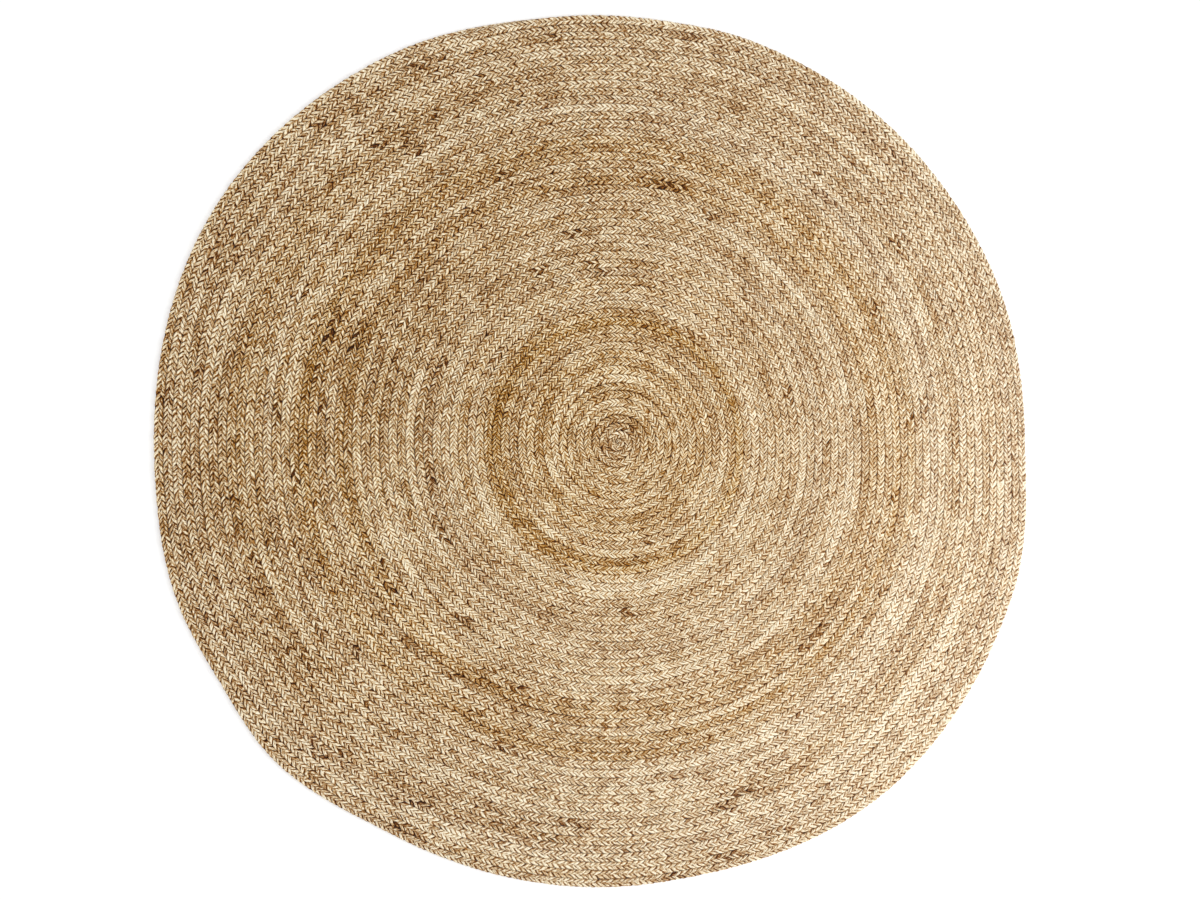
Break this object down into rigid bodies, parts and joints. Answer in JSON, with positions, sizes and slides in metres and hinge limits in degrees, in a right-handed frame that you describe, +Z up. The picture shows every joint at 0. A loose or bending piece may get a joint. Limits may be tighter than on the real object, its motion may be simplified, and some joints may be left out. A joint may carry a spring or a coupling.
{
  "type": "round braided jute rug",
  "caption": "Round flat rug made of one braided jute plait coiled from the centre and sewn edge to edge, with an uneven hand-made outline.",
  "frame": {"origin": "centre of the coil, on the floor", "axes": "+Z up out of the rug's face; +X and +Y lie in the floor; the plait winds outward clockwise seen from +Z"},
  "size_m": [1.781, 1.7692, 0.0113],
  "materials": {
    "jute": "dry matt jute yarn, three-strand plait, natural honey to pale beige with darker brown streaks"
  },
  "bodies": {
    "root": {"rug": "jute"}
  },
  "joints": []
}
